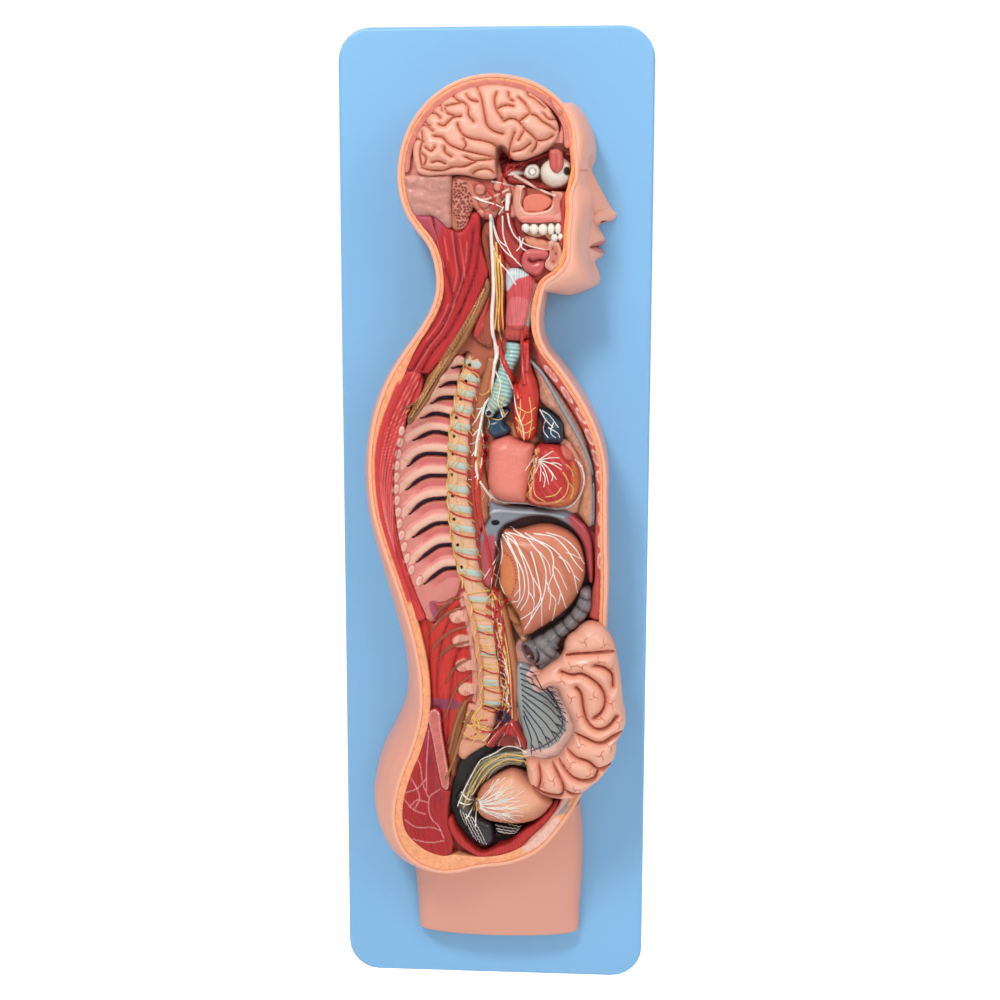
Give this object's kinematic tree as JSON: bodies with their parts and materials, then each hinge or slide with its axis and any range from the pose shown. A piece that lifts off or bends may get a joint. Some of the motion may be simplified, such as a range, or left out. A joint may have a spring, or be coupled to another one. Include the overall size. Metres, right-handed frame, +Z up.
{
  "type": "torso anatomy model",
  "caption": "Wall panel with a life-like relief of a head, neck and trunk cut open lengthwise, showing brain, spine, heart, bowels and the nerves that serve them.",
  "frame": {"origin": "centre of the board's back face, on the wall's surface", "axes": "+Z up the board's long side, +X to the viewer's right, where the face looks, -Y out of the wall towards the viewer"},
  "size_m": [0.255, 0.099, 0.8],
  "materials": {
    "artery_red": "hand painted, semi-gloss",
    "bladder_tan": "hand painted, semi-gloss",
    "board_blue": "painted, satin",
    "bone": "hand painted, satin",
    "bowel_dark": "hand painted, semi-gloss",
    "bowel_peach": "hand painted, semi-gloss",
    "brain_peach": "hand painted, semi-gloss",
    "cartilage": "hand painted, semi-gloss",
    "colon_grey": "hand painted, semi-gloss",
    "eye_white": "hand painted, semi-gloss",
    "fat_orange": "hand painted, satin",
    "heart_pink": "hand painted, semi-gloss",
    "heart_red": "hand painted, semi-gloss",
    "lung_pink": "hand painted, satin",
    "membrane_grey": "hand painted, semi-gloss",
    "mesentery_grey": "hand painted, semi-gloss",
    "muscle_deep": "hand painted, semi-gloss",
    "muscle_pink": "hand painted, semi-gloss",
    "muscle_red": "hand painted, semi-gloss",
    "nerve_brown": "hand painted, semi-gloss",
    "nerve_white": "hand painted, semi-gloss",
    "rib_pink": "hand painted, semi-gloss",
    "skin": "hand painted, semi-gloss",
    "stomach_tan": "hand painted, semi-gloss",
    "tissue_tan": "hand painted, semi-gloss",
    "tooth_ivory": "hand painted, semi-gloss",
    "tray_dark": "hand painted, satin",
    "vein_blue": "hand painted, semi-gloss",
    "vertebra": "hand painted, satin",
    "zinc_steel": "zinc plated"
  },
  "bodies": {
    "panel": {"abdominal_aorta": "artery_red", "aortic_arch": "artery_red", "back_muscle": "muscle_red", "baseboard": "board_blue", "bladder": "bladder_tan", "body_shell": "skin", "brachial_plexus": "nerve_brown", "brain": "brain_peach", "carotid_sheath": "tissue_tan", "ciliary_ganglion": "nerve_white", "colon": "colon_grey", "diaphragm": "membrane_grey", "eye_muscle": "muscle_pink", "eyeball": "eye_white", "face": "skin", "fat_layer": "fat_orange", "fixing_screw_1": "zinc_steel", "fixing_screw_2": "zinc_steel", "fixing_screw_3": "zinc_steel", "front_wall": "muscle_red", "gluteus": "muscle_red", "hanger_strap_left": "zinc_steel", "hanger_strap_right": "zinc_steel", "heart_left": "heart_pink", "heart_right": "heart_red", "iliac_bone": "bone", "inner_tray": "tray_dark", "jaw_muscle": "muscle_deep", "larynx": "muscle_pink", "lumbar_muscle": "muscle_red", "lung": "lung_pink", "mandible": "bone", "maxilla": "bone", "mediastinum": "tissue_tan", "mesentery": "mesentery_grey", "nape_muscle": "muscle_red", "occipital_bone": "bone", "orbit": "muscle_deep", "pelvic_floor": "muscle_red", "prostate": "bowel_dark", "pubic_bone": "bone", "pulmonary_artery": "vein_blue", "pulmonary_trunk": "vein_blue", "rectum": "bowel_dark", "rib_cage": "rib_pink", "sacrum": "vertebra", "skull_vault": "bone", "small_intestine": "bowel_peach", "spine": "vertebra", "stomach": "stomach_tan", "strap_screw_left": "zinc_steel", "strap_screw_right": "zinc_steel", "teeth": "tooth_ivory", "temporal_bone": "bone", "thigh_stump": "skin", "tongue": "muscle_pink", "trachea": "cartilage"},
    "ring_left": {"hanger_ring_left": "zinc_steel"},
    "ring_right": {"hanger_ring_right": "zinc_steel"}
  },
  "joints": [
    {"name": "ring_left_swing", "type": "hinge", "parent": "panel", "child": "ring_left", "pos_m": [-0.084, -0.0037, 0.352], "axis": [-1, 0, 0], "range_deg": [0, 120]},
    {"name": "ring_right_swing", "type": "hinge", "parent": "panel", "child": "ring_right", "pos_m": [0.084, -0.0037, 0.352], "axis": [-1, 0, 0], "range_deg": [0, 120]}
  ]
}
